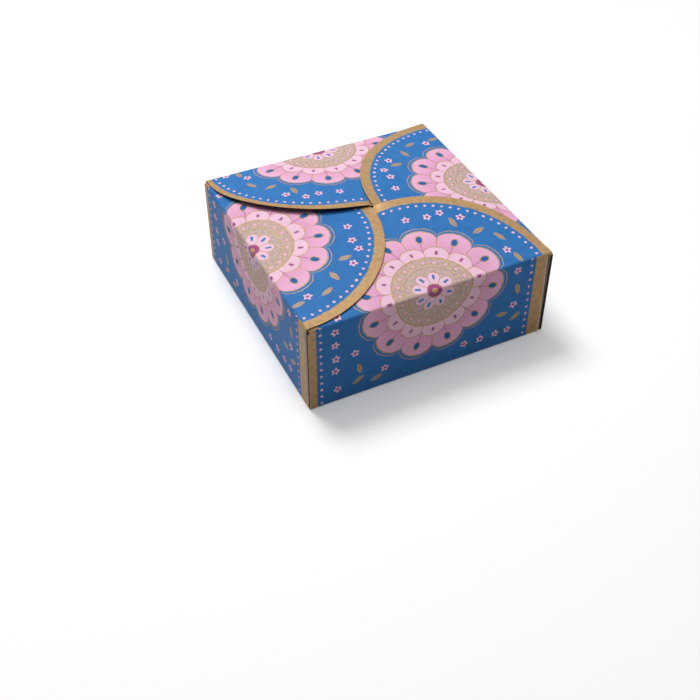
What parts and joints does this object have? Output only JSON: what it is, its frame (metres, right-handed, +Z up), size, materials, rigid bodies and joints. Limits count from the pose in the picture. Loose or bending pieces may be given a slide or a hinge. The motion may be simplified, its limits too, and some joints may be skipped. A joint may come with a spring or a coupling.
{
  "type": "paper gift box",
  "caption": "Square card gift box folded from one sheet, with web corners and half-round flaps that interleave over the top to hold it shut.",
  "frame": {"origin": "middle of the base's underside, on the surface that the box stands on", "axes": "+Z up through the meeting point of the four flaps; -Y out of the wall that the picture shows on the right; +Y towards the flap that has sprung open"},
  "size_m": [0.1, 0.1, 0.0447],
  "materials": {
    "printed_card": "printed card, satin"
  },
  "bodies": {
    "root": {"folded_box": "printed_card"}
  },
  "joints": []
}
